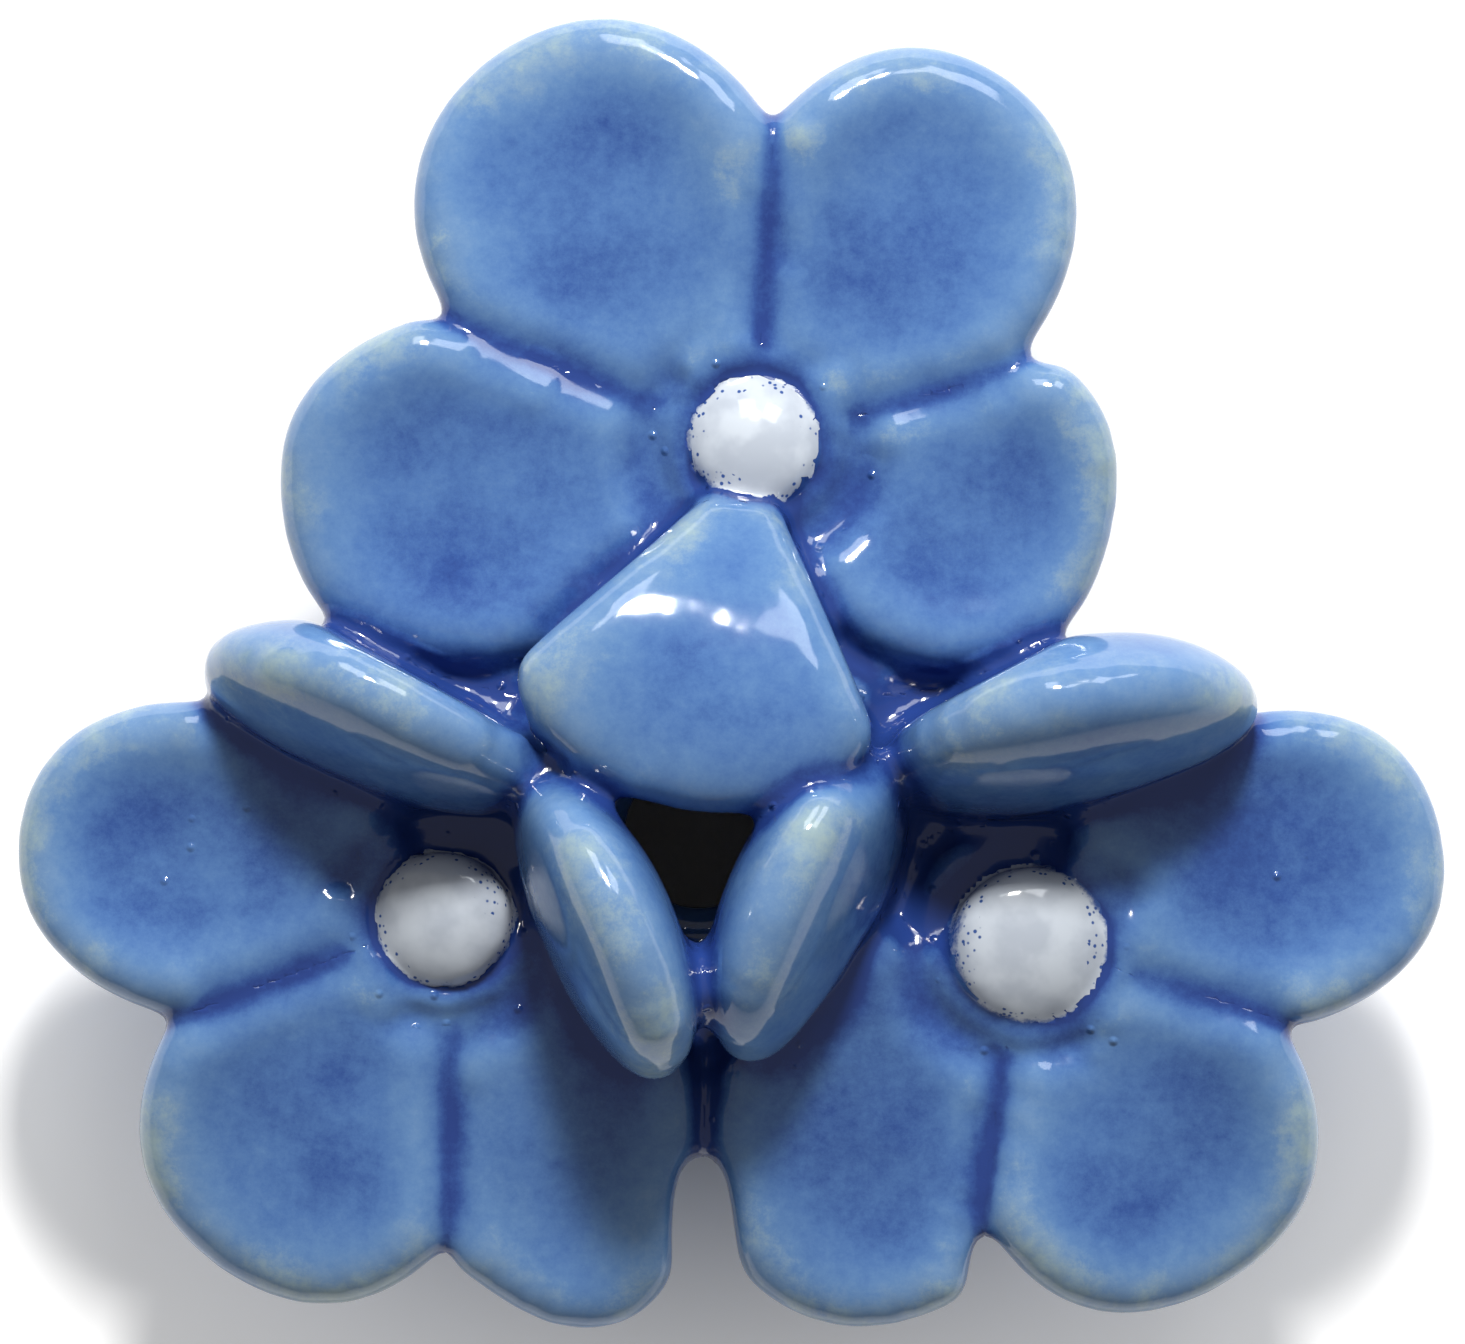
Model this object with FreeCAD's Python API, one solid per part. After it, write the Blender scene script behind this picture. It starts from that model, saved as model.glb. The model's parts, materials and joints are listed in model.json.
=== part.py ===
"""Flower frog: three five-petalled flowers of thick clay pads on a hollow dome with one stem hole.

Millimetres, +Z up. The origin is on the table under the middle of the outline.
While building, the dome's own axis is the Z axis; everything is moved to the origin at the end.
"""

import FreeCAD, Part
import math
import os

V = FreeCAD.Vector

# ---- driving dimensions ----

# Dome: a thrown hollow body, open underneath.
DOME_RADIUS = 25.2          # outside, at the foot
DOME_HEIGHT = 18.5          # outside, at the crown
DOME_WALL = 4.0
FOOT_HEIGHT = 5.0           # straight wall above the table
FOOT_BEVEL = 0.8
SHOULDER_SQUARENESS = 2.6   # exponent of the outer curve: 2 is an ellipse
NOTCH_COUNT = 3             # arches in the foot that let water in
NOTCH_WIDTH = 9.0
NOTCH_HEIGHT = 4.0
NOTCH_FIRST_AZIMUTH = 30.0

# Stem hole: a short tube luted through the dome.
HOLE_RADIUS = 5.2
HOLE_X = 0.2                # from the dome's axis
HOLE_Y = -3.6
COLLAR_WALL = 2.8
COLLAR_RISE = 2.2           # above the dome beside it
COLLAR_DROP = 0.6           # below the dome's ceiling

# Flowers.
SEAT_RISE = 2.0             # the middle of each flower, above the dome's crown
SEAT_HEIGHT = DOME_HEIGHT + SEAT_RISE
BASE_TOP_RADIUS = 8.5
BASE_FOOT_RADIUS = 7.0
BASE_BOTTOM = 7.8           # above the table, inside the dome
BASE_TILT = 12.0            # degrees, outward
EYE_RADIUS = 4.8
EYE_SCALES = {"back": 0.98, "left": 1.02, "right": 1.15}   # hand-rolled buttons, not quite equal
EYE_RISE = 5.0
EYE_SKIRT = 3.3             # straight side of the button, between the petals' roots

# Petal pads.
PETAL_ROOT = 2.0            # where a pad starts, from the flower's middle
PETAL_LIFT = 0.6            # middle plane of a pad's root above the flower's seat
OUTLINE_SQUARENESS = 0.86   # below 1 fills out the corners of the outline
EGG = 0.06                  # how much wider a pad is towards its tip
PRESSED_EGGS = {            # pads squeezed against the next flower, wider towards the root
    "left_petal_front_right": -0.30,
    "right_petal_front_left": -0.20,
}
RING_POINTS = 16
# Control points of a pad's section, from the middle of the face round the rim to the middle of the back:
# share of the half width, height as a share of the thickness. A pad lies between these two.
HOLLOW_SECTION = (
    (0.00, 0.13), (0.26, 0.13), (0.56, 0.19), (0.80, 0.34), (0.96, 0.27), (1.02, 0.03),
    (0.98, -0.24), (0.86, -0.48), (0.62, -0.66), (0.30, -0.72), (0.00, -0.72),
)
FULL_SECTION = (
    (0.00, 0.34), (0.28, 0.34), (0.58, 0.28), (0.82, 0.18), (0.97, 0.06), (1.02, -0.06),
    (0.97, -0.20), (0.82, -0.38), (0.58, -0.54), (0.28, -0.62), (0.00, -0.62),
)

# Each flower: distance and azimuth of its middle from the dome's axis.
FLOWERS = {
    "back": (23.8, 80.3),
    "left": (19.5, 208.1),
    "right": (25.4, 334.3),
}

# Where neighbouring flowers press against each other: azimuths of the walls, from the stem hole.
SEAMS = {"back_left": 151.0, "left_right": 270.0, "right_back": 28.0}
SECTORS = {
    "back": ("right_back", "back_left"),
    "left": ("back_left", "left_right"),
    "right": ("left_right", "right_back"),
}

# Petals pressed side by side, anticlockwise round each flower: azimuth, reach, width, thickness, rise at the
# root and at the tip in degrees, and how hollow the face is.
RING_PETALS = {
    "back": {
        "right": (-14.0, 26.0, 24.0, 9.0, 14.0, -16.0, 1.0),
        "rear_right": (55.0, 31.5, 23.6, 9.0, 8.0, -18.0, 1.0),
        "rear_left": (122.5, 33.4, 26.0, 9.0, 8.0, -18.0, 1.0),
        "left": (188.0, 33.6, 24.8, 9.0, 12.0, -16.0, 1.0),
        "front": (256.0, 29.4, 27.4, 10.0, 56.0, -8.0, 0.3),
    },
    "left": {
        "outer": (168.0, 31.3, 21.8, 9.0, 8.0, -20.0, 1.0),
        "front_left": (237.5, 30.0, 24.8, 9.0, 8.0, -22.0, 1.0),
        "front_right": (292.5, 31.3, 23.0, 9.0, 8.0, -22.0, 1.0),
    },
    "right": {
        "front_left": (236.0, 30.8, 26.6, 9.0, 8.0, -22.0, 1.0),
        "front_right": (301.0, 28.4, 25.0, 9.0, 8.0, -22.0, 1.0),
        "outer": (376.0, 30.8, 22.2, 9.0, 8.0, -20.0, 1.0),
    },
}

# The walls where they press together: azimuths from the flower's middle, one before and one after each petal.
CREASES = {
    "back": (-67.5, 16.8, 86.5, 158.2, 223.0, 292.5),
    "left": (83.0, 200.6, 269.6, 376.0),
    "right": (153.0, 261.5, 343.0, 461.0),
}

# Petals folded up afterwards: the same, then the azimuth of the fold line, its distance from the flower's
# middle and the angle the pad is folded up by.
FOLDED_PETALS = {
    "back": {},
    "left": {
        "inner": (5.5, 29.0, 22.5, 9.4, 6.0, -4.0, 0.0, -67.0, 8.3, 82.0),
        "rear": (104.5, 29.0, 25.4, 10.6, 6.0, -4.0, 0.0, 158.0, 9.6, 78.0),
    },
    "right": {
        "rear": (80.0, 30.0, 26.2, 11.6, 6.0, -4.0, 0.0, 10.0, 12.6, 76.0),
        "inner": (167.0, 31.0, 24.5, 10.4, 6.0, -4.0, 0.0, 245.7, 13.8, 78.0),
    },
}

# Petals that reach over a neighbouring flower, which gives way to them.
OVERHANGING = ("back_petal_front",)

REACH = 200.0               # larger than the whole object, for cutting wedges


def direction(azimuth):
    """Unit vector in the table's plane."""
    a = math.radians(azimuth)
    return V(math.cos(a), math.sin(a), 0)


def wedge(apex, start, end):
    """A tall prism over the ground between two azimuths, seen from apex; it is under half a turn wide."""
    corners = [apex, apex + direction(start) * REACH, apex + direction((start + end) / 2) * REACH,
               apex + direction(end) * REACH]
    flat = [V(c.x, c.y, -REACH / 2) for c in corners]
    return Part.Face(Part.makePolygon(flat + flat[:1])).extrude(V(0, 0, REACH))


def revolve(edges):
    """A closed profile in the XZ plane, turned about the Z axis."""
    return Part.Face(Part.Wire(edges)).revolve(V(), V(0, 0, 1), 360)


def tilted(shape, place, azimuth, angle):
    """shape leaned over by angle towards azimuth, then moved from the origin to place."""
    out = shape.copy()
    out.rotate(V(), V(0, 0, 1).cross(direction(azimuth)), angle)
    out.translate(place)
    return out


def largest(shape):
    """The biggest solid of a shape, as a plain solid."""
    return max(shape.Solids, key=lambda s: s.Volume)


# ---- dome and collar ----

def shell_height(radius, outer_radius, height):
    """Height of the dome's curve above its straight foot, at a distance from the axis."""
    share = min(1.0, radius / outer_radius) ** SHOULDER_SQUARENESS
    return FOOT_HEIGHT + (height - FOOT_HEIGHT) * (1 - share) ** (1 / SHOULDER_SQUARENESS)


def dome_curve(outer_radius, height, steps=12):
    """The dome's curve from the straight foot up to the crown, as one spline."""
    points = []
    for i in range(steps + 1):
        a = math.pi / 2 * i / steps
        x = outer_radius * math.cos(a) ** (2 / SHOULDER_SQUARENESS)
        z = FOOT_HEIGHT + (height - FOOT_HEIGHT) * math.sin(a) ** (2 / SHOULDER_SQUARENESS)
        points.append(V(0 if i == steps else x, 0, z))
    curve = Part.BSplineCurve()
    curve.interpolate(points, InitialTangent=V(0, 0, 1), FinalTangent=V(-1, 0, 0))
    return curve.toShape(), points


def dome_block(radius, height, bottom):
    """A solid dome standing on the plane z = bottom."""
    curve, points = dome_curve(radius, height)
    base = V(radius, 0, bottom)
    axis = V(0, 0, bottom)
    return revolve([Part.makeLine(axis, base), Part.makeLine(base, points[0]), curve,
                    Part.makeLine(points[-1], axis)])


def make_dome(collar_place):
    outer = dome_block(DOME_RADIUS, DOME_HEIGHT, 0.0)
    rim = [e for e in outer.Edges if abs(e.BoundBox.ZMax) < 1e-6 and e.Length > DOME_RADIUS]
    outer = outer.makeChamfer(FOOT_BEVEL, rim)
    dome = outer.cut(dome_block(DOME_RADIUS - DOME_WALL, DOME_HEIGHT - DOME_WALL, -1.0))
    dome = dome.cut(Part.makeCylinder(HOLE_RADIUS + COLLAR_WALL, REACH, collar_place - V(0, 0, 1)))
    for i in range(NOTCH_COUNT):
        azimuth = NOTCH_FIRST_AZIMUTH + 360.0 * i / NOTCH_COUNT
        dome = dome.cut(foot_notch(azimuth))
    return largest(dome)


def foot_notch(azimuth):
    """An arch through the foot: half a circle on a short straight side."""
    half = NOTCH_WIDTH / 2
    side = max(0.0, NOTCH_HEIGHT - half)
    low, left, right = V(0, half, -1), V(0, half, side), V(0, -half, side)
    arch = Part.Arc(left, V(0, 0, NOTCH_HEIGHT), right).toShape()
    face = Part.Face(Part.Wire([Part.makeLine(low, left), arch, Part.makeLine(right, V(0, -half, -1)),
                                Part.makeLine(V(0, -half, -1), low)]))
    notch = face.extrude(V(DOME_RADIUS * 2, 0, 0))
    notch.rotate(V(), V(0, 0, 1), azimuth)
    return notch


def collar_levels():
    """Bottom and top of the collar's tube."""
    off_axis = math.hypot(HOLE_X, HOLE_Y)
    beside = off_axis + HOLE_RADIUS + COLLAR_WALL
    ceiling = shell_height(beside, DOME_RADIUS - DOME_WALL, DOME_HEIGHT - DOME_WALL)
    return ceiling - COLLAR_DROP, shell_height(beside, DOME_RADIUS, DOME_HEIGHT) + COLLAR_RISE


def make_collar(place):
    bottom, top = collar_levels()
    inner, outer = HOLE_RADIUS, HOLE_RADIUS + COLLAR_WALL
    lip = COLLAR_WALL / 2
    a, b = V(inner, 0, bottom), V(outer, 0, bottom)
    c, d = V(outer, 0, top - lip), V(inner, 0, top - lip)
    crest = V((inner + outer) / 2, 0, top)
    ring = revolve([Part.makeLine(a, b), Part.makeLine(b, c), Part.Arc(c, crest, d).toShape(), Part.makeLine(d, a)])
    ring.translate(place)
    return ring


# ---- flower middles ----

def make_base(place, azimuth):
    """A cone of clay that carries one flower, down into the dome."""
    depth = (SEAT_HEIGHT - BASE_BOTTOM) / math.cos(math.radians(BASE_TILT))
    cone = Part.makeCone(BASE_FOOT_RADIUS, BASE_TOP_RADIUS, depth, V(0, 0, -depth))
    return tilted(cone, place, azimuth, BASE_TILT)


def eye_way(place, azimuth, radius):
    """The room the button takes up between the petals, and the way above it."""
    return tilted(Part.makeCylinder(radius, REACH / 4), place, azimuth, BASE_TILT)


def make_eye(place, azimuth, radius):
    """The round button in the middle: a low cap on a straight skirt."""
    foot, side = V(radius, 0, 0), V(radius, 0, EYE_SKIRT)
    top = V(0, 0, EYE_RISE)
    rise = EYE_RISE - EYE_SKIRT
    cap_radius = (radius ** 2 + rise ** 2) / (2 * rise)
    half = math.asin(radius / cap_radius) / 2
    middle = V(cap_radius * math.sin(half), 0, EYE_RISE - cap_radius * (1 - math.cos(half)))
    button = revolve([Part.makeLine(V(), foot), Part.makeLine(foot, side), Part.Arc(side, middle, top).toShape(),
                      Part.makeLine(top, V())])
    return tilted(button, place, azimuth, BASE_TILT)


# ---- petals ----

def pad_outline(length, width, egg):
    """Control points round a pad's outline, from the tip: along and across from its middle."""
    swell = 3 / (2 + math.cos(2 * math.pi / RING_POINTS))   # a cubic spline runs inside its control points
    points = []
    for i in range(RING_POINTS):
        a = 2 * math.pi * i / RING_POINTS
        across = math.copysign(abs(math.sin(a)) ** OUTLINE_SQUARENESS, math.sin(a)) * (1 + egg * math.cos(a))
        points.append((swell * length / 2 * math.cos(a), swell * width / 2 * across))
    return points


def bend(length, rise_root, rise_tip):
    """Maps a pad's flat coordinates (along, across, up) onto its arched centreline, which starts at the origin
    and runs in +X."""
    start = math.radians(rise_root)
    turn = math.radians(rise_tip - rise_root) / length

    def place(along, across, up):
        slope = start + turn * along
        x = (math.sin(slope) - math.sin(start)) / turn
        z = (math.cos(start) - math.cos(slope)) / turn
        return V(x - up * math.sin(slope), across, z + up * math.cos(slope))

    return place


def closed_skin(rows):
    """A solid with one smooth skin over rows of control points, closed round each row; the first and last row
    are single points. The skin is left as two halves, with a seam along the middle of each side."""
    surface = Part.BSplineSurface()
    rings, count = len(rows), len(rows[0])
    down_knots = list(range(rings - 2))
    down_times = [4] + [1] * (rings - 4) + [4]
    round_knots = list(range(count + 1))
    round_times = [1] * (count + 1)
    surface.buildFromPolesMultsKnots(rows, down_times, round_times, down_knots, round_knots, False, True, 3, 3)
    halves = []
    for start, end in ((0, count // 2), (count // 2, count)):
        half = surface.copy()
        half.segment(down_knots[0], down_knots[-1], start, end)
        halves.append(half.toShape())
    skin = Part.makeShell(halves)
    skin.sewShape()
    return Part.makeSolid(Part.Shell(skin.Faces))


def pad_section(hollow):
    """The section between the full one at 0 and the hollow one at 1."""
    return [(a + (c - a) * hollow, b + (d - b) * hollow) for (a, b), (c, d) in zip(FULL_SECTION, HOLLOW_SECTION)]


def make_pad(azimuth, reach, width, thickness, rise_root, rise_tip, hollow, egg=EGG):
    """A petal as it is pressed: a thick egg-shaped pad arched along its length, running from the flower's middle
    towards azimuth."""
    length = reach - PETAL_ROOT
    place = bend(length, rise_root, rise_tip)
    outline = pad_outline(length, width, egg)
    rows = [[place(length / 2 + share * u, share * v, up * thickness) for u, v in outline]
            for share, up in pad_section(hollow)]
    pad = closed_skin(rows)
    pad.translate(V(PETAL_ROOT, 0, 0))
    pad.rotate(V(), V(0, 0, 1), azimuth)
    return pad


def fold_up(pad, line_azimuth, line_distance, angle, azimuth):
    """pad folded up about a level line beside the flower's middle, on the side the pad lies."""
    line = direction(line_azimuth)
    outward = V(0, 0, 1).cross(line)
    if outward.dot(direction(azimuth)) < 0:
        outward, line = outward * -1, line * -1
    pad.rotate(outward * line_distance, line, angle)
    return pad


def make_petals(flower, centre, walls):
    """The flower's pads in their final places, by node name, each cut where it meets the walls, its neighbours
    and the next flower."""
    hole = V(HOLE_X, HOLE_Y, 0)
    first, last = (SEAMS[s] for s in SECTORS[flower])
    sector = wedge(hole, first, last if last > first else last + 360)
    creases = CREASES[flower]
    made = {}
    for petal, start, end in zip(RING_PETALS[flower], creases, creases[1:]):
        name = f"{flower}_petal_{petal}"
        pad = make_pad(*RING_PETALS[flower][petal], PRESSED_EGGS.get(name, EGG))
        pad.translate(centre)
        pad = pad.common(wedge(centre, start, end))
        if name not in OVERHANGING:
            pad = pad.common(sector)
        made[name] = largest(pad.cut(walls))
    for petal, (*press, line_azimuth, line_distance, angle) in FOLDED_PETALS[flower].items():
        pad = fold_up(make_pad(*press), line_azimuth, line_distance, angle, press[0])
        pad.translate(centre)
        pad = pad.common(sector)
        made[f"{flower}_petal_{petal}"] = largest(pad.cut([*walls, *made.values()]))
    return made


# ---- the whole object ----

def build():
    collar_place = V(HOLE_X, HOLE_Y, 0)
    dome = make_dome(collar_place)
    collar = make_collar(collar_place)
    bore = Part.makeCylinder(HOLE_RADIUS + COLLAR_WALL, collar_levels()[1], collar_place)
    parts = {"body_dome": dome, "stem_collar": collar}
    solid_dome = dome_block(DOME_RADIUS, DOME_HEIGHT, 0.0)
    for flower, (distance, azimuth) in FLOWERS.items():
        seat = direction(azimuth) * distance + V(0, 0, SEAT_HEIGHT)
        base = make_base(seat, azimuth)
        eye_radius = EYE_RADIUS * EYE_SCALES[flower]
        eye = make_eye(seat, azimuth, eye_radius)
        walls = [solid_dome.fuse([base, eye_way(seat, azimuth, eye_radius), bore])]
        walls += [parts[name] for name in OVERHANGING if name in parts]
        parts.update(make_petals(flower, seat + V(0, 0, PETAL_LIFT), walls))
        parts[f"{flower}_flower_base"] = largest(base.cut([solid_dome, bore]))
        parts[f"{flower}_flower_eye"] = eye
    box = Part.makeCompound(list(parts.values())).BoundBox
    shift = V(-box.Center.x, -box.Center.y, 0)
    for shape in parts.values():
        shape.translate(shift)
    return parts, shift


def main():
    os.makedirs("parts", exist_ok=True)
    parts, shift = build()
    for name, shape in parts.items():
        shape.exportStep(f"parts/{name}.step")
    bottom, top = collar_levels()
    print("dome axis at", round(shift.x, 3), round(shift.y, 3))
    print("stem hole at", round(HOLE_X + shift.x, 3), round(HOLE_Y + shift.y, 3), "from", round(bottom, 3),
          "to", round(top - COLLAR_WALL / 2, 3))
    for name, shape in parts.items():
        print(f"{name:28s} volume {shape.Volume:9.1f} valid {shape.isValid()} solids {len(shape.Solids)}")


main()
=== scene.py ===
"""Looks of the flower frog: three thick-petalled pottery flowers on a hollow dome, under a glossy blue glaze.

The clay pieces of the frame are softened as clay and glaze soften them: edges are rounded, creases and gaps
between neighbours fill a little, and the surface wavers as hand-pressed clay does. This is done on distance
fields, as one glazed surface over the whole object. Each piece is then meshed on its own: the part of that
surface, and of the clay under it, that is nearer to it than to any other piece. Metres, +Z up.
"""

import json
import math

import bpy
import numpy as np
import openvdb
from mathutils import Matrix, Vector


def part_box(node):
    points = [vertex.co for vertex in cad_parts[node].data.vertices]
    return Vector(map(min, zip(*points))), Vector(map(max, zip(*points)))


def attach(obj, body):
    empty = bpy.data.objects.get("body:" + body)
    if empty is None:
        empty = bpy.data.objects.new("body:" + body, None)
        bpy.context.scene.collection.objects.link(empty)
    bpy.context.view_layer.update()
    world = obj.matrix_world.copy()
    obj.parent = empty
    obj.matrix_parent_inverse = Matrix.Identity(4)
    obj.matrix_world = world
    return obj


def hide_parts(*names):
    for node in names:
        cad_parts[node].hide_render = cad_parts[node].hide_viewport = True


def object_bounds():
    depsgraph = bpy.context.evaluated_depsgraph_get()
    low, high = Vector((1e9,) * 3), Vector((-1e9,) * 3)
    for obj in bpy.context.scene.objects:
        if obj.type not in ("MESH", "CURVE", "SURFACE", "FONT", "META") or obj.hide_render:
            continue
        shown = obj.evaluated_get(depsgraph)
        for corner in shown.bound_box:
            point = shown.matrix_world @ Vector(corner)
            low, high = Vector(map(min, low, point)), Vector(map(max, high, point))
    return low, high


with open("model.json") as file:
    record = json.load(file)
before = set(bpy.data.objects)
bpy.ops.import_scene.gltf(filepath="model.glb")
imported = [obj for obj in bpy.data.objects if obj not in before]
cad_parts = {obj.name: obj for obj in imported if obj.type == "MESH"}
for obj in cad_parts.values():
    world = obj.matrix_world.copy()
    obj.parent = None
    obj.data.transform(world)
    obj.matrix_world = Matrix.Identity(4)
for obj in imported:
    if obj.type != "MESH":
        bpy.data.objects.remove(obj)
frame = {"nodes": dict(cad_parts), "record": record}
CAD_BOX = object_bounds()

MM = 0.001
SEED = 7

# Distance fields.
VOXEL = 0.4 * MM
BAND = 12                       # voxels each side of a surface
MARGIN = 5.0 * MM               # empty room round the object

# How much clay and glaze round the edges of a piece, and fill the creases beside it.
PETAL_ROUNDING = 2.2 * MM
EYE_ROUNDING = 1.2 * MM
BODY_ROUNDING = 1.0 * MM
PETAL_FILLET = 1.3 * MM
EYE_FILLET = 0.7 * MM
BODY_FILLET = 1.3 * MM
GAP_FILL = 1.5 * MM             # slip and glaze bridge gaps up to twice this
CREASE_DEPTH = 1.5 * MM         # no crease goes deeper than this
GROOVE_DEPTH = 0.2 * MM         # and no deeper than this beside a button
GROOVE_REACH = 2.0 * MM         # how far from a button the depth grows back

# Balls of clay pressed into the corners between the flowers: place from the middle of the stem hole, height
# above the foot, radius.
PLUGS = (
    (-13.25 * MM, 9.20 * MM, 19.0 * MM, 5.6 * MM),
    (11.75 * MM, 10.80 * MM, 19.0 * MM, 5.6 * MM),
    (-10.45 * MM, 5.00 * MM, 21.5 * MM, 4.6 * MM),
    (-8.25 * MM, 17.00 * MM, 21.0 * MM, 4.2 * MM),
    (-11.25 * MM, 13.80 * MM, 20.5 * MM, 4.4 * MM),
    (-0.05 * MM, -16.40 * MM, 15.0 * MM, 6.5 * MM),
)
# Upright round sticks that opened the notch between the two front petals: place from the middle of the stem
# hole, radius.
CUTS = (
    (0.15 * MM, -24.40 * MM, 1.0 * MM),
    (0.25 * MM, -26.40 * MM, 1.2 * MM),
    (0.35 * MM, -28.80 * MM, 1.5 * MM),
)
CUT_FILLET = 3.0 * MM

WAVER_LENGTH = 5.0 * MM
WAVER_HEIGHT = 0.16 * MM
SKIN_BLUR = 0.42 * MM           # evens out the voxels
OVERLAP = 0.3 * MM              # neighbouring pieces run into each other this far, under the glaze
STEP_DOWN = 0.002 * MM          # each piece's skin lies this much below the piece before it

# Blur lengths that read the form: where it bulges or narrows to an edge, the glaze runs thin.
EDGE_BLUR = 1.0 * MM
FORM_BLUR = 2.6 * MM

# Settling a piece's points on the glazed surface.
SKIN_SLACK = 0.25 * VOXEL       # points at least this deep inside are not on the skin
SKIN_STEP = 0.3 * VOXEL         # a point moves no further than this at a time
SKIN_STEPS = 2

# What the materials need to know about single pieces.
FACING_UP = 0.7                 # least share of a button's face that points up, to count for its axis
FOOT_BARE = 0.8 * MM            # the foot is wiped clean up to here
FOOT_FADE = 1.2 * MM            # and glazed again this much higher
OUTWARD_FADE = 0.3              # a hollow body's wall faces outward above this cosine, inward below 0


def srgb(red, green, blue):
    """A colour as seen on a screen, 0 to 255, in the linear values that shaders use."""
    linear = [((c / 255 + 0.055) / 1.055) ** 2.4 if c > 10 else c / 255 / 12.92 for c in (red, green, blue)]
    return (*linear, 1.0)


# Colours.
POOLED = srgb(34, 58, 122)
DEEP = srgb(47, 78, 140)
FULL = srgb(70, 106, 160)
LIGHT = srgb(86, 122, 168)
THIN = srgb(102, 134, 172)
BROKEN = srgb(134, 157, 171)
GREENISH = srgb(144, 163, 163)
SLIP = srgb(188, 196, 206)
SLIP_SHADE = srgb(170, 178, 190)
CLAY = srgb(168, 148, 122)
CLAY_SHADE = srgb(126, 108, 86)
# Painted shade: the clay inside the dome is coloured dark, as the shade in that hollow.
INSIDE_SHADE_CLAY = srgb(62, 54, 48)
BLUE_STOPS = ((0.0, POOLED), (0.18, DEEP), (0.42, FULL), (0.64, LIGHT), (0.84, THIN), (1.0, BROKEN))

# Gloss.
GLAZE_ROUGHNESS = 0.09
GLAZE_IOR = 1.52
CLAY_ROUGHNESS = 0.85
GLOSS = {"Roughness": GLAZE_ROUGHNESS, "IOR": GLAZE_IOR}

# How thin the glaze lies: what each cause adds, on a scale from 0, pooled, to 1, broken over an edge.
THIN_START = -0.578
THIN_BY_FORM = 0.62             # on broad bulges
THIN_BY_EDGE = 0.55             # for each mm that the smaller form stands out
THIN_BY_HEIGHT = 0.002 / MM     # glaze runs down from the high petals
THIN_BY_CREASE = -0.36          # in the creases between pieces
THIN_BY_RING = -0.34            # round a button
THIN_BY_CLOUDS = 0.76
THIN_BY_MOTTLE = 0.50
CLOUD_SIZE = 8 * MM
MOTTLE_SIZE = 0.9 * MM
GREEN_PATCH_SIZE = 7 * MM
GREEN_SHARE = 0.65

# The glaze's relief.
WAVE_SIZE = 2.4 * MM
WAVE_HEIGHT = 0.04 * MM
LUMP_SIZE = 1.9 * MM
LUMP_HEIGHT = 0.26 * MM
BLISTER_PATCH_SIZE = 7 * MM
BLISTER_SPACING = 1.9 * MM
BLISTER_RADIUS = 0.22           # as a share of the spacing
BLISTER_HEIGHT = 0.16 * MM
BLISTER_SHARE = 0.55            # of the places along creases and round buttons

# The ragged, speckled edge of the slip on a button.
RAGGED_SIZE = 4 * MM
FRAYED_SIZE = 0.5 * MM
SPECK_SPACING = 0.42 * MM
SPECK_SHARE = 0.6
SLIP_CLOUD_SIZE = 3 * MM

# Bare clay, and the painted shade on the clay inside the dome.
GLAZE_LINE_SIZE = 2.5 * MM      # unevenness of the line where the glaze ends
GLAZE_LINE_SHARE = 0.3
GRIT_SIZE = 0.5 * MM
TOOTH_SIZE = 0.4 * MM
TOOTH_HEIGHT = 0.06 * MM
INSIDE_SHADE_FROM = 1.0 * MM           # painted shade: the clay inside darkens above the foot ring
INSIDE_SHADE_FULL = 4.0 * MM

# Picture.
VIEW_CENTRE = (0.0, 0.0)
FLOWER_PLANE = 22.0 * MM
CAMERA_HEIGHT = 1.0
FRAME_WIDTH = 102.5 * MM        # what the picture's width covers in the plane of the flowers
SENSOR = 36.0                   # in mm, as Blender's camera has it
CLIP_END = 10.0

# Lights: name, azimuth and elevation in degrees, distance, width, height, power in watts, colour.
LIGHTS = (
    ("key", 86, 45, 0.9, 0.13, 0.13, 10.0, (1.0, 0.98, 0.95)),
    ("window_left", 96, 36, 1.3, 0.36, 0.50, 3.6, (0.94, 0.97, 1.0)),
    ("window_right", 64, 36, 1.3, 0.36, 0.50, 3.6, (0.94, 0.97, 1.0)),
)
WORLD_COLOUR = (1.0, 0.97, 0.93, 1.0)
WORLD_STRENGTH = 0.28

# Floor: a pale sweep that glows a little away from the object.
FLOOR_HALF = 1.5
FLOOR_CLOUD_SIZE = 60 * MM
FLOOR_STOPS = ((0.3, srgb(238, 239, 240)), (0.7, srgb(243, 243, 243)))
FLOOR_ROUGHNESS = 0.7
FLOOR_GLOW = 0.30
GLOW_FROM = 30 * MM             # distances from the middle of the object
GLOW_FULL = 60 * MM


# ---- distance fields ----

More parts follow.
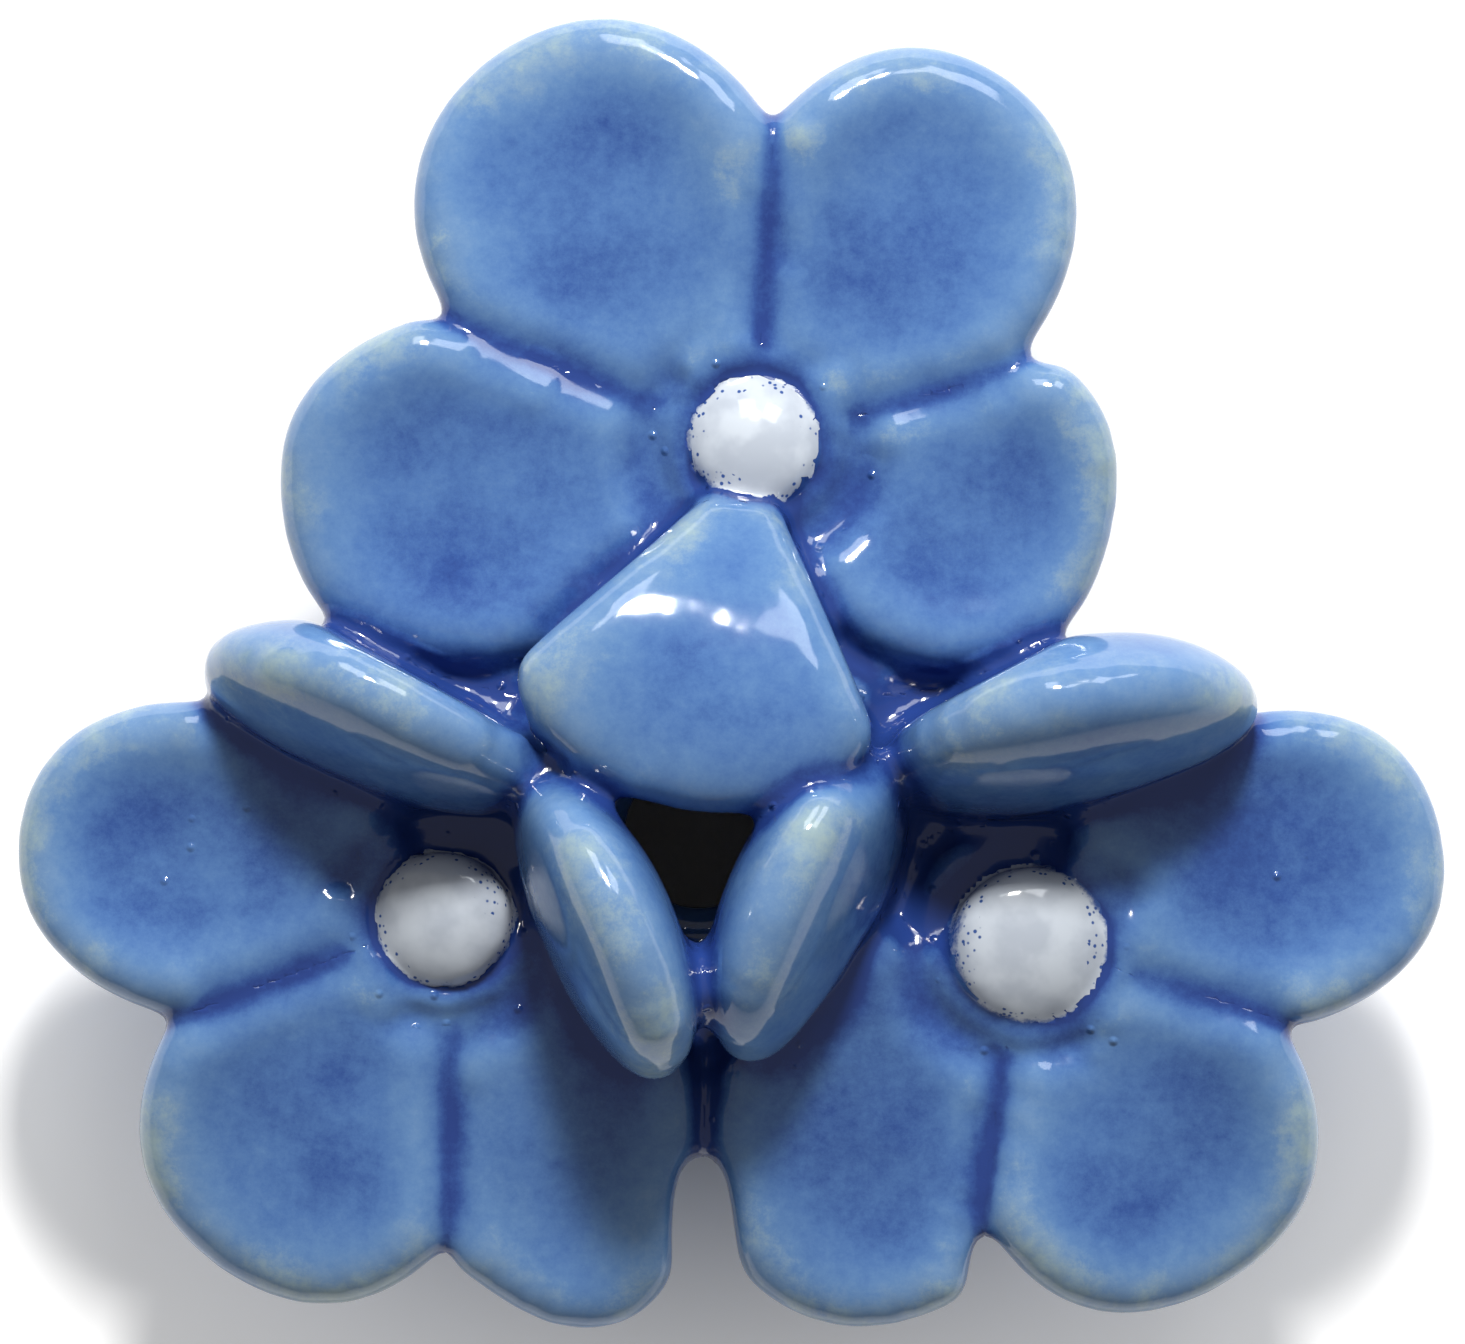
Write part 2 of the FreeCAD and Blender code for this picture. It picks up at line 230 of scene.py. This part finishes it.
class Domain:
    """One block of voxels round the whole object. Voxel (i, j, k) samples (start + (i, j, k)) * VOXEL."""

    def __init__(self, low, high):
        self.start = np.floor((np.array(low) - MARGIN) / VOXEL).astype(int)
        self.shape = tuple(np.ceil((np.array(high) + MARGIN) / VOXEL).astype(int) - self.start)
        self.transform = openvdb.createLinearTransform(voxelSize=VOXEL)

    def slices(self, low, high):
        """The part of the block that holds a box, with room for the band round it."""
        first = np.floor(np.array(low) / VOXEL).astype(int) - self.start - BAND
        last = np.ceil(np.array(high) / VOXEL).astype(int) - self.start + BAND
        first, last = np.maximum(first, 0), np.minimum(last, self.shape)
        return tuple(slice(int(a), int(b)) for a, b in zip(first, last))

    def whole(self):
        """The whole block as a part."""
        return tuple(slice(0, size) for size in self.shape)

    def corner(self, part):
        """The index of a part's first voxel."""
        return tuple(int(a + s.start) for a, s in zip(self.start, part))

    def steps(self, axis):
        """The places of the voxels along one axis."""
        return (self.start[axis] + np.arange(self.shape[axis])) * VOXEL

    def ball(self, place, radius):
        """Distance from a ball."""
        x, y, z = np.meshgrid(*(self.steps(a) - place[a] for a in range(3)), indexing="ij", sparse=True)
        return np.sqrt(x * x + y * y + z * z).astype(np.float32) - np.float32(radius)

    def stick(self, place, radius):
        """Distance from an upright round stick."""
        x, y = np.meshgrid(*(self.steps(a) - place[a] for a in range(2)), indexing="ij")
        return (np.hypot(x, y) - radius)[:, :, None].astype(np.float32)

    def sample(self, field, points):
        """A field's values at points, between its voxels."""
        place = np.clip(points / VOXEL - self.start, 0, np.array(self.shape) - 1.001)
        corner = place.astype(int)
        share = place - corner
        value = np.zeros(len(points))
        for step in np.ndindex(2, 2, 2):
            weight = np.prod(np.where(step, share, 1 - share), axis=1)
            i, j, k = (corner + step).T
            value += weight * field[i, j, k]
        return value

    def slope(self, field, points):
        """Unit vectors along which a field rises fastest."""
        rise = np.empty((len(points), 3))
        for axis in range(3):
            step = np.zeros(3)
            step[axis] = VOXEL
            rise[:, axis] = self.sample(field, points + step) - self.sample(field, points - step)
        return rise / np.maximum(np.linalg.norm(rise, axis=1, keepdims=True), 1e-12)


def blurred(field, length):
    """The field under a Gaussian blur whose standard deviation is this length."""
    spectrum = np.fft.rfftn(field)
    for axis, size in enumerate(field.shape):
        wave = np.fft.rfftfreq(size) if axis == 2 else np.fft.fftfreq(size)
        fade = np.exp(-2 * (math.pi * wave * length / VOXEL) ** 2)
        spectrum *= fade.reshape([-1 if a == axis else 1 for a in range(3)])
    return np.fft.irfftn(spectrum, field.shape).astype(np.float32)


def mesh_arrays(mesh):
    """A mesh's points and triangles."""
    mesh.calc_loop_triangles()
    points = np.empty(len(mesh.vertices) * 3, np.float32)
    mesh.vertices.foreach_get("co", points)
    triangles = np.empty(len(mesh.loop_triangles) * 3, np.int32)
    mesh.loop_triangles.foreach_get("vertices", triangles)
    return points.reshape(-1, 3), triangles.reshape(-1, 3).astype(np.uint32)


def array_from(domain, grid, part):
    """A grid's values in a part of the block."""
    field = np.empty([s.stop - s.start for s in part], np.float32)
    grid.copyToArray(field, ijk=domain.corner(part))
    return field


def skin_of(domain, field, part, level):
    """Points and quads of the surface on which a field has this level."""
    grid = openvdb.FloatGrid(BAND * VOXEL)
    grid.transform = domain.transform
    grid.copyFromArray(np.ascontiguousarray(field), ijk=domain.corner(part))
    return grid.convertToQuads(isovalue=level)


def distance_from(domain, points, part, **faces):
    """Distance from a closed mesh, in a part of the block. Its faces are given as triangles or as quads."""
    grid = openvdb.FloatGrid.createLevelSetFromPolygons(
        points, **faces, transform=domain.transform, halfWidth=float(BAND))
    return array_from(domain, grid, part)


def moved_skin(domain, field, part, level):
    """Distance from the surface on which a field has this level, measured afresh."""
    points, quads = skin_of(domain, field, part, level)
    return distance_from(domain, points, part, quads=quads)


def rounded(domain, field, part, radius):
    """A solid whose outer edges have been rounded: shrunk by the radius and grown again."""
    return moved_skin(domain, field, part, -radius) - np.float32(radius)


def filled(domain, field, part, radius):
    """A solid whose gaps and inner corners have been filled: grown by the radius and shrunk again."""
    return moved_skin(domain, field, part, radius) + np.float32(radius)


def smooth_union(a, b, fillet):
    """The nearer of two surfaces, with the crease between them filled."""
    near = np.maximum(fillet - np.abs(a - b), 0) / fillet
    return np.minimum(a, b) - near ** 2 * fillet / 4


def is_button(name):
    return name.endswith("eye")


def treatment(name):
    """Rounding and fillet of a piece."""
    if "petal" in name:
        return PETAL_ROUNDING, PETAL_FILLET
    if is_button(name):
        return EYE_ROUNDING, EYE_FILLET
    return BODY_ROUNDING, BODY_FILLET


def from_hole(x, y):
    """A place in the plane, given from the middle of the stem hole."""
    low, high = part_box("stem_collar")
    return (low[0] + high[0]) / 2 + x, (low[1] + high[1]) / 2 + y


class Clay:
    """The whole object as fields: each piece's own, and the glazed surface over them all."""

    def __init__(self, nodes):
        domain = self.domain = Domain(*CAD_BOX)
        self.parts = {}
        self.fields = {}
        self.union = np.full(domain.shape, np.float32(BAND * VOXEL), np.float32)
        self.nearest = self.union.copy()
        self.second = self.union.copy()
        self.buttons = self.union.copy()
        body = self.union.copy()
        # Dome, collar and bases first, then petals, then buttons: the order of the ranks in piece().
        for name in sorted(nodes, key=lambda n: (is_button(n), "petal" in n, n)):
            part = self.parts[name] = domain.slices(*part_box(name))
            points, triangles = mesh_arrays(nodes[name].data)
            field = self.fields[name] = distance_from(domain, points, part, triangles=triangles)
            self.second[part] = np.minimum(self.second[part], np.maximum(self.nearest[part], field))
            self.nearest[part] = np.minimum(self.nearest[part], field)
            if not is_button(name):
                body[part] = np.minimum(body[part], field)
                self.add(name)
        for x, y, z, radius in PLUGS:
            body = np.minimum(body, domain.ball((*from_hole(x, y), z), radius))
        body = filled(domain, body, domain.whole(), GAP_FILL)
        body = rounded(domain, body, domain.whole(), BODY_ROUNDING) + self.crease_depth()
        self.union = smooth_union(self.union, body, BODY_FILLET)
        for name, part in self.parts.items():
            if is_button(name):
                self.add(name)
                self.buttons[part] = np.minimum(self.buttons[part], self.fields[name])
        for x, y, radius in CUTS:
            self.union = -smooth_union(-self.union, domain.stick(from_hole(x, y), radius), CUT_FILLET)
        self.finish_skin()

    def crease_depth(self):
        """How deep the creases may be, less beside the buttons."""
        depth = np.full(self.domain.shape, np.float32(CREASE_DEPTH))
        for name, part in self.parts.items():
            if is_button(name):
                away = np.clip(self.fields[name] / np.float32(GROOVE_REACH), 0, 1)
                near = GROOVE_DEPTH + (CREASE_DEPTH - GROOVE_DEPTH) * away ** 2
                depth[part] = np.minimum(depth[part], near)
        return depth

    def add(self, name):
        """One more piece into the glazed surface, with its edges rounded."""
        part = self.parts[name]
        rounding, fillet = treatment(name)
        field = rounded(self.domain, self.fields[name], part, rounding)
        self.union[part] = smooth_union(self.union[part], field, fillet)

    def finish_skin(self):
        """The wavering of hand-pressed clay, blurred copies that read the form, and the flat foot."""
        noise = np.random.default_rng(SEED).standard_normal(self.domain.shape, np.float32)
        waver = blurred(noise, WAVER_LENGTH)
        self.union += waver * np.float32(WAVER_HEIGHT / waver.std())
        self.union = blurred(self.union, SKIN_BLUR)
        self.edge = blurred(self.union, EDGE_BLUR)
        self.form = blurred(self.union, FORM_BLUR)
        self.union = np.maximum(self.union, -self.domain.steps(2).astype(np.float32))

    def piece(self, name, rank):
        """Points and quads of one piece: the part of the glazed surface, and of the clay under it, that is
        nearer to it than to any other piece."""
        part, own = self.parts[name], self.fields[name]
        others = np.where(own <= self.nearest[part], self.second[part], self.nearest[part])
        share = (own - others) / 2 - np.float32(OVERLAP)
        lowered = self.union[part] + np.float32(rank * STEP_DOWN)
        points, quads = skin_of(self.domain, np.maximum(lowered, share), part, 0.0)
        return points.astype(np.float64), quads


def glazed_piece(clay, name, rank):
    """A mesh object for one piece. What its material reads is stored on its points, in mm."""
    domain = clay.domain
    points, quads = clay.piece(name, rank)
    on_skin = domain.sample(clay.union, points) > -SKIN_SLACK
    for _ in range(SKIN_STEPS):
        depth = domain.sample(clay.union, points) + rank * STEP_DOWN
        move = np.where(on_skin, np.clip(depth, -SKIN_STEP, SKIN_STEP), 0)
        points -= domain.slope(clay.union, points) * move[:, None]
    mesh = bpy.data.meshes.new(name)
    mesh.from_pydata(points, [], quads)
    mesh.validate()
    mesh.update()
    if signed_volume(points, quads) < 0:
        mesh.flip_normals()
    mesh.shade_smooth()
    normals = np.empty(len(points) * 3, np.float32)
    mesh.vertex_normals.foreach_get("vector", normals)
    normals = np.where(on_skin[:, None], domain.slope(clay.union, points), normals.reshape(-1, 3))
    mesh.normals_split_custom_set_from_vertices(normals)
    store(mesh, "edge", domain.sample(clay.edge, points) / MM)
    store(mesh, "form", domain.sample(clay.form, points) / MM)
    store(mesh, "button", domain.sample(clay.buttons, points) / MM)
    store(mesh, "seam", domain.sample(clay.second - clay.nearest, points) / 2 / MM)
    if is_button(name):
        store(mesh, "rim", rim_distance(name, points) / MM)
    if name == "body_dome":
        store(mesh, "glazed", outer_face(name, points, normals))
    return bpy.data.objects.new(name + "_glazed", mesh)


def rim_distance(name, points):
    """How far points lie outside a round button's side, seen along its own axis."""
    corners, triangles = mesh_arrays(frame["nodes"][name].data)
    a, b, c = (corners[triangles[:, i]].astype(np.float64) for i in range(3))
    faces = np.cross(b - a, c - a)
    upward = faces[faces[:, 2] > FACING_UP * np.linalg.norm(faces, axis=1)].sum(axis=0)
    axis = upward / np.linalg.norm(upward)
    centre = (corners.max(axis=0) + corners.min(axis=0)) / 2

    def off_axis(places):
        away = places - centre
        return np.linalg.norm(away - np.outer(away @ axis, axis), axis=1)

    return off_axis(points) - off_axis(corners).max()


def outer_face(name, points, normals):
    """1 on the outer face of a hollow body, 0 inside it and on the foot."""
    low, high = (np.array(corner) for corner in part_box(name))
    away = points - (low + high) / 2 * (1, 1, 0)
    outward = np.einsum("ij,ij->i", away, normals) / np.linalg.norm(away, axis=1)
    above_foot = np.clip((points[:, 2] - FOOT_BARE) / FOOT_FADE, 0, 1)
    return np.clip(outward / OUTWARD_FADE, 0, 1) * above_foot


def signed_volume(points, quads):
    """Six times a mesh's volume, below 0 if its faces point inward."""
    a, b, c, d = (points[quads[:, i]] for i in range(4))
    return np.einsum("ij,ij->", a, np.cross(b, c)) + np.einsum("ij,ij->", a, np.cross(c, d))


def store(mesh, name, values):
    """A number on each point of a mesh, for its material."""
    attribute = mesh.attributes.new(name, "FLOAT", "POINT")
    attribute.data.foreach_set("value", np.asarray(values, np.float32))


# ---- materials ----

class Shader:
    """A material's node tree, with a short call for each kind of node."""

    def __init__(self, name):
        self.material = bpy.data.materials.new(name)
        self.material.use_nodes = True
        self.tree = self.material.node_tree
        self.surface = self.tree.nodes["Principled BSDF"]

    def node(self, kind, inputs=(), **settings):
        made = self.tree.nodes.new("ShaderNode" + kind)
        for key, value in settings.items():
            setattr(made, key, value)
        for key, value in dict(inputs).items():
            self.feed(made.inputs[key], value)
        return made

    def feed(self, socket, value):
        """A link or a fixed value into a socket."""
        if isinstance(value, bpy.types.NodeSocket):
            self.tree.links.new(value, socket)
        else:
            socket.default_value = value

    def attribute(self, name):
        return self.node("Attribute", attribute_name=name).outputs["Fac"]

    def position(self):
        return self.node("TexCoord").outputs["Object"]

    def height(self):
        """Height above the foot."""
        return self.node("SeparateXYZ", {"Vector": self.position()}).outputs["Z"]

    def noise(self, size, detail, roughness=0.5):
        """Noise from 0 to 1 with spots of about this size."""
        inputs = {"Vector": self.position(), "Scale": 1 / size, "Detail": detail, "Roughness": roughness}
        return self.node("TexNoise", inputs).outputs["Fac"]

    def cells(self, size):
        """Scattered cells of about this size: distance from a cell's middle, in sizes, and a random number
        from 0 to 1 for each cell."""
        made = self.node("TexVoronoi", {"Vector": self.position(), "Scale": 1 / size, "Randomness": 1.0})
        drawn = self.node("SeparateColor", {"Color": made.outputs["Color"]})
        return made.outputs["Distance"], drawn.outputs[0]

    def math(self, operation, a, b):
        return self.node("Math", {0: a, 1: b}, operation=operation).outputs[0]

    def weighted(self, terms, start=0.0):
        """start plus each value times its weight."""
        total = start
        for value, weight in terms:
            total = self.node("Math", {0: value, 1: weight, 2: total}, operation="MULTIPLY_ADD").outputs[0]
        return total

    def ranged(self, value, low, high, out_low=0.0, out_high=1.0):
        """value mapped smoothly from low..high to out_low..out_high."""
        inputs = {"Value": value, "From Min": low, "From Max": high, "To Min": out_low, "To Max": out_high}
        return self.node("MapRange", inputs, interpolation_type="SMOOTHSTEP").outputs["Result"]

    def mixed(self, share, a, b):
        """Colour a turning into colour b."""
        return self.node("Mix", {0: share, 6: a, 7: b}, data_type="RGBA").outputs[2]

    def mixed_normal(self, share, a, b):
        """Normal a turning into normal b."""
        return self.node("Mix", {0: share, 4: a, 5: b}, data_type="VECTOR").outputs[1]

    def ramp(self, value, stops):
        """Colours that follow a value from 0 to 1."""
        made = self.node("ValToRGB", {"Fac": value})
        elements = made.color_ramp.elements
        while len(elements) < len(stops):
            elements.new(1.0)
        for element, (place, colour) in zip(elements, stops):
            element.position = place
            element.color = colour
        return made.outputs["Color"]

    def bump(self, height, distance, strength=1.0, normal=None):
        """A normal under a relief of this height."""
        inputs = {"Height": height, "Distance": distance, "Strength": strength}
        if normal is not None:
            inputs["Normal"] = normal
        return self.node("Bump", inputs).outputs["Normal"]

    def finish(self, **values):
        """The material, once the surface has these values. An underscore stands for a space."""
        for key, value in values.items():
            self.feed(self.surface.inputs[key.replace("_", " ")], value)
        return self.material


def glaze_colour(shader):
    """Blue glaze: dark where it pools in creases and hollows, pale and greenish where it breaks on edges."""
    crease = shader.ranged(shader.attribute("seam"), 1.5, 0.0)
    hollow = shader.ranged(shader.attribute("edge"), 0.08, -0.08)
    thin = shader.weighted((
        (shader.ranged(shader.attribute("form"), -1.0, 0.9), THIN_BY_FORM),
        (shader.attribute("edge"), THIN_BY_EDGE),
        (shader.height(), THIN_BY_HEIGHT),
        (shader.math("MULTIPLY", crease, hollow), THIN_BY_CREASE),
        (shader.ranged(shader.attribute("button"), 2.6, 0.4), THIN_BY_RING),
        (shader.noise(CLOUD_SIZE, 3.0, 0.6), THIN_BY_CLOUDS),
        (shader.noise(MOTTLE_SIZE, 5.0, 0.8), THIN_BY_MOTTLE),
    ), THIN_START)
    blue = shader.ramp(thin, BLUE_STOPS)
    patch = shader.ranged(shader.noise(GREEN_PATCH_SIZE, 2.0), 0.44, 0.66)
    tinge = shader.math("MULTIPLY", shader.ranged(thin, 0.60, 0.95), patch)
    return shader.mixed(shader.math("MULTIPLY", tinge, GREEN_SHARE), blue, GREENISH)


def glaze_waves(shader, strength):
    """Slight waves in the glaze."""
    return shader.bump(shader.noise(WAVE_SIZE, 1.0), WAVE_HEIGHT, strength)


def glaze_relief(shader):
    """Waves, and small lumps and blisters along the creases and round the buttons that catch the light."""
    depth = shader.weighted(((shader.attribute("form"), 1.0), (shader.attribute("edge"), 2.0)))
    in_crease = shader.ranged(depth, -0.20, -0.70)
    by_button = shader.ranged(shader.attribute("button"), 4.5, 2.0)
    near = shader.math("MAXIMUM", in_crease, by_button)
    patch = shader.ranged(shader.noise(BLISTER_PATCH_SIZE, 1.0), 0.42, 0.60)
    lumps = shader.math("MULTIPLY", shader.noise(LUMP_SIZE, 0.0), shader.math("MULTIPLY", near, patch))
    lumpy = shader.bump(lumps, LUMP_HEIGHT, 1.0, glaze_waves(shader, 0.6))
    distance, drawn = shader.cells(BLISTER_SPACING)
    chosen = shader.math("LESS_THAN", drawn, shader.math("MULTIPLY", near, BLISTER_SHARE))
    blister = shader.math("MULTIPLY", shader.ranged(distance, BLISTER_RADIUS, 0.0), chosen)
    return shader.bump(blister, BLISTER_HEIGHT, 1.0, lumpy)


def blue_glaze():
    shader = Shader("blue_glaze")
    return shader.finish(Base_Color=glaze_colour(shader), Normal=glaze_relief(shader), **GLOSS)


def white_slip():
    """White slip on a button, under the clear glaze. Its edge is ragged, and speckled with blue."""
    shader = Shader("white_slip")
    outside = shader.attribute("rim")
    ragged = shader.math("SUBTRACT", shader.noise(RAGGED_SIZE, 1.0), 0.5)
    frayed = shader.math("SUBTRACT", shader.noise(FRAYED_SIZE, 3.0, 0.7), 0.5)
    edge = shader.weighted(((outside, 1.0), (ragged, 1.2), (frayed, 0.7)))
    worn = shader.ranged(edge, -0.45, 0.05)
    distance, drawn = shader.cells(SPECK_SPACING)
    crowd = shader.ranged(shader.weighted(((outside, 1.0), (ragged, 4.5))), -1.7, 0.1)
    chosen = shader.math("LESS_THAN", drawn, shader.math("MULTIPLY", crowd, SPECK_SHARE))
    specks = shader.math("MULTIPLY", chosen, shader.ranged(distance, 0.42, 0.22))
    bare = shader.math("MAXIMUM", worn, specks)
    cloud = shader.ranged(shader.noise(SLIP_CLOUD_SIZE, 3.0), 0.35, 0.65)
    colour = shader.mixed(bare, shader.mixed(cloud, SLIP_SHADE, SLIP), DEEP)
    return shader.finish(Base_Color=colour, Normal=glaze_waves(shader, 0.5), **GLOSS)


def body_clay():
    """The dome: blue glaze outside, wiped off the foot; bare clay on the foot ring, and clay inside darkened
    with painted shade.
    """
    shader = Shader("body_clay")
    uneven = shader.math("MULTIPLY", shader.noise(GLAZE_LINE_SIZE, 2.0), GLAZE_LINE_SHARE)
    glazed = shader.ranged(shader.math("ADD", shader.attribute("glazed"), uneven), 0.55, 0.75)
    grit = shader.ranged(shader.noise(GRIT_SIZE, 4.0, 0.7), 0.35, 0.70)
    # Painted shade: the clay inside the dome, above the foot ring, turns dark.
    inside_shade = shader.ranged(shader.height(), INSIDE_SHADE_FROM, INSIDE_SHADE_FULL)
    clay = shader.mixed(inside_shade, shader.mixed(grit, CLAY_SHADE, CLAY), INSIDE_SHADE_CLAY)
    colour = shader.mixed(glazed, clay, glaze_colour(shader))
    tooth = shader.bump(shader.noise(TOOTH_SIZE, 3.0), TOOTH_HEIGHT)
    normal = shader.mixed_normal(glazed, tooth, glaze_relief(shader))
    rough = shader.ranged(glazed, 0.0, 1.0, CLAY_ROUGHNESS, GLAZE_ROUGHNESS)
    return shader.finish(Base_Color=colour, Normal=normal, Roughness=rough, IOR=GLAZE_IOR)


# ---- the set ----

def put_camera():
    """A camera that looks straight down on the flowers."""
    data = bpy.data.cameras.new("camera")
    data.sensor_width = SENSOR
    data.lens = SENSOR * (CAMERA_HEIGHT - FLOWER_PLANE) / FRAME_WIDTH
    data.clip_end = CLIP_END
    camera = bpy.data.objects.new("camera", data)
    camera.location = (*VIEW_CENTRE, CAMERA_HEIGHT)
    bpy.context.scene.collection.objects.link(camera)
    bpy.context.scene.camera = camera


def area_light(name, azimuth, elevation, distance, width, height, power, colour):
    """A soft rectangle of light that faces the object."""
    data = bpy.data.lights.new(name, "AREA")
    data.shape = "RECTANGLE"
    data.size, data.size_y = width, height
    data.energy = power
    data.color = colour
    light = bpy.data.objects.new(name, data)
    a, e = math.radians(azimuth), math.radians(elevation)
    light.location = (distance * math.cos(e) * math.cos(a), distance * math.cos(e) * math.sin(a),
                      distance * math.sin(e) + FLOWER_PLANE)
    light.rotation_euler = (math.pi / 2 - e, 0, a + math.pi / 2)
    bpy.context.scene.collection.objects.link(light)


def put_lights():
    for row in LIGHTS:
        area_light(*row)
    world = bpy.data.worlds.new("studio")
    world.use_nodes = True
    background = world.node_tree.nodes["Background"]
    background.inputs["Color"].default_value = WORLD_COLOUR
    background.inputs["Strength"].default_value = WORLD_STRENGTH
    bpy.context.scene.world = world
    bpy.context.scene.view_settings.view_transform = "Standard"


def put_floor():
    mesh = bpy.data.meshes.new("floor")
    corners = [(x * FLOOR_HALF, y * FLOOR_HALF, 0) for x, y in ((-1, -1), (1, -1), (1, 1), (-1, 1))]
    mesh.from_pydata(corners, [], [(0, 1, 2, 3)])
    floor = bpy.data.objects.new("floor", mesh)
    bpy.context.scene.collection.objects.link(floor)
    shader = Shader("floor")
    tone = shader.ramp(shader.noise(FLOOR_CLOUD_SIZE, 2.0), FLOOR_STOPS)
    away = shader.node("VectorMath", {0: shader.position()}, operation="LENGTH").outputs["Value"]
    glow = shader.ranged(away, GLOW_FROM, GLOW_FULL, 0.0, FLOOR_GLOW)
    mesh.materials.append(shader.finish(
        Base_Color=tone, Roughness=FLOOR_ROUGHNESS, Emission_Color=tone, Emission_Strength=glow))


# ---- the object ----

def build_pieces():
    """One glazed piece for each node of the frame."""
    clay = Clay(frame["nodes"])
    slots = {row["node"]: row["material_slot"] for row in frame["record"]["subparts"]}
    materials = {"glaze_blue": blue_glaze(), "glaze_white": white_slip(), "clay_body": body_clay()}
    for rank, name in enumerate(clay.parts):
        piece = glazed_piece(clay, name, rank)
        bpy.context.scene.collection.objects.link(piece)
        piece.data.materials.append(materials[slots[name]])
        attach(piece, "root")
        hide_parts(name)


build_pieces()
put_floor()
put_lights()
put_camera()
